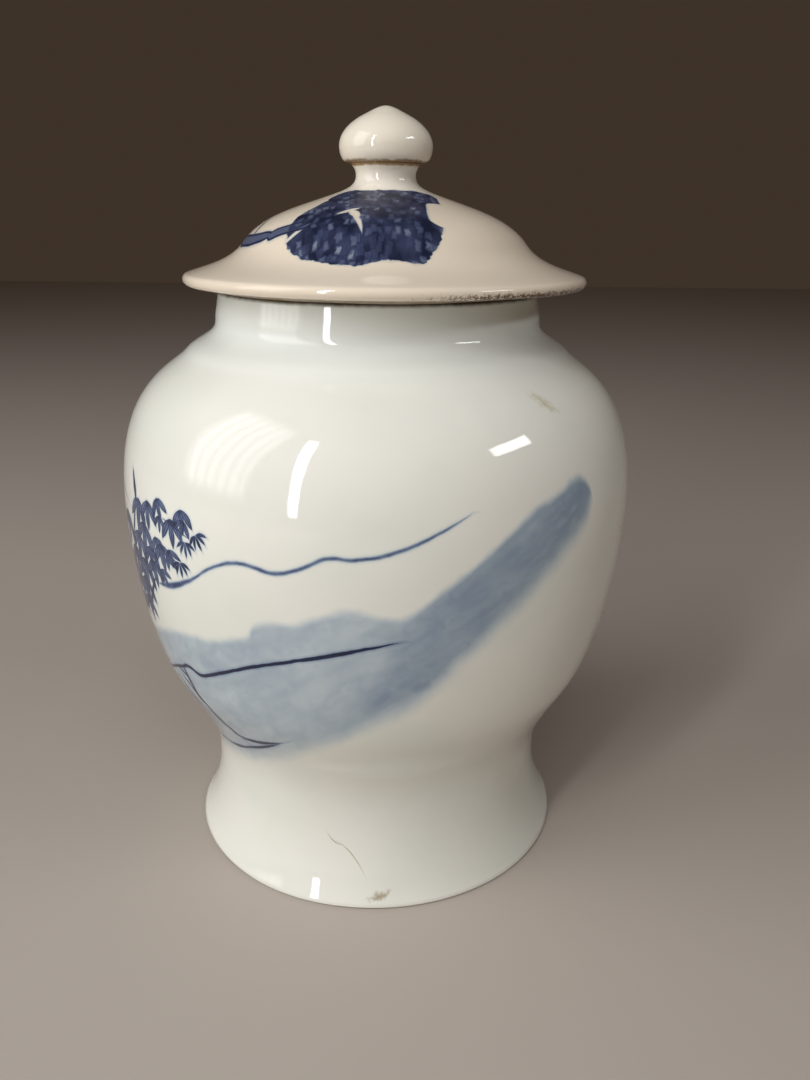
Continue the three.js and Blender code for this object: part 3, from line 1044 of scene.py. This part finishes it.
def studio_floor():
    """A pale, matt paper floor."""
    bpy.ops.object.select_all(action="DESELECT")
    bpy.ops.mesh.primitive_plane_add(size=8, location=(0, 0, 0))
    floor = bpy.context.object
    floor.name = "studio_floor"
    made = empty_material("paper_matt")
    tree = made.node_tree
    fibre = add(tree, "TexNoise", {"Vector": add(tree, "TexCoord", {}).outputs["Object"], "Scale": 900.0})
    bump = add(tree, "Bump", {"Height": fibre, "Strength": 0.2, "Distance": 0.05 * MM})
    paper = {"Base Color": linear("#bab0a7"), "Roughness": 0.85, "Normal": bump}
    shader = add(tree, "BsdfPrincipled", paper)
    add(tree, "OutputMaterial", {"Surface": shader})
    floor.data.materials.append(made)


def soft_light(name, bearing, distance, height, width, tall, power, fade, folds=0, mirrored=True):
    """A softbox that faces the jar. bearing is in degrees from the front, positive to the right, fade is the
    share of its width over which its edges fade out, and folds is how many folds its cloth hangs in. If it
    isn't mirrored, it lights the jar but doesn't show in the glaze."""
    turn = math.radians(bearing)
    lamp = bpy.data.lights.new(name, "AREA")
    lamp.shape = "RECTANGLE"
    lamp.size = width
    lamp.size_y = tall
    lamp.energy = power
    lamp.use_nodes = True
    tree = lamp.node_tree
    tree.nodes.clear()
    parts = add(tree, "SeparateXYZ", {0: add(tree, "NewGeometry", {}).outputs["Parametric"]})
    glow = 1.0
    for side in ("X", "Y"):
        off = add(tree, "Math", {0: parts.outputs[side], 1: 0.5}, operation="SUBTRACT")
        off = add(tree, "Math", {0: off}, operation="ABSOLUTE")
        edge = {"Value": off, "From Min": 0.5, "From Max": 0.5 - fade}
        lit = add(tree, "MapRange", edge, **SMOOTH)
        glow = add(tree, "Math", {0: lit, 1: glow}, operation="MULTIPLY")
    if folds:
        turns = add(tree, "Math", {0: parts.outputs["X"], 1: 2 * math.pi * folds}, operation="MULTIPLY")
        wave = add(tree, "Math", {0: turns}, operation="SINE")
        cloth = add(tree, "Math", {0: wave, 1: 0.25, 2: 0.8}, operation="MULTIPLY_ADD")
        glow = add(tree, "Math", {0: cloth, 1: glow}, operation="MULTIPLY")
    add(tree, "OutputLight", {0: add(tree, "Emission", {"Strength": glow})})
    holder = bpy.data.objects.new(name, lamp)
    bpy.context.scene.collection.objects.link(holder)
    holder.location = (distance * math.sin(turn), -distance * math.cos(turn), height)
    middle = Vector((0, 0, 0.2))
    aim = middle - holder.location
    holder.rotation_euler = aim.to_track_quat("-Z", "Y").to_euler()
    holder.visible_camera = False
    holder.visible_glossy = mirrored


def studio_camera():
    """Stands close, looks down at the jar and is turned and tilted a little."""
    lens = bpy.data.cameras.new("camera")
    lens.sensor_width = 36
    lens.lens = 30
    lens.clip_start = 0.01
    holder = bpy.data.objects.new("camera", lens)
    bpy.context.scene.collection.objects.link(holder)
    place = (0, -0.4444, 0.3141)
    down, aside, tilt = (math.radians(angle) for angle in (19.86, 1.85, 0.72))
    facing = Matrix.Rotation(-aside, 4, "Z") @ Matrix.Rotation(math.pi / 2 - down, 4, "X")
    holder.matrix_world = Matrix.Translation(place) @ facing @ Matrix.Rotation(tilt, 4, "Z")
    bpy.context.scene.camera = holder
    bpy.context.scene.view_settings.view_transform = "Standard"


def studio_air():
    """Even, dim light from all round."""
    world = bpy.data.worlds.new("studio")
    bpy.context.scene.world = world
    world.use_nodes = True
    world.node_tree.nodes.clear()
    glow = add(world.node_tree, "Background", {"Color": linear("#d6b496"), "Strength": 0.072})
    add(world.node_tree, "OutputWorld", {"Surface": glow})


studio_floor()
studio_air()
studio_camera()
# A gap between curtains, the sunlit curtain beside it, soft light from above, and a second window
soft_light("window_gap", -33.5, distance=1.5, height=0.8, width=0.135, tall=1.5, power=13, fade=0.06)
soft_light("window_sheer", -71, distance=1.8, height=1.15, width=1.4, tall=2.3, power=34, fade=0.16, folds=7)
soft_light(
    "overhead", -6, distance=0.5, height=1.15, width=0.9, tall=0.9, power=5.8, fade=0.3, mirrored=False
)
soft_light("far_window", 67, distance=2.2, height=1.6, width=0.95, tall=0.3, power=11, fade=0.05)
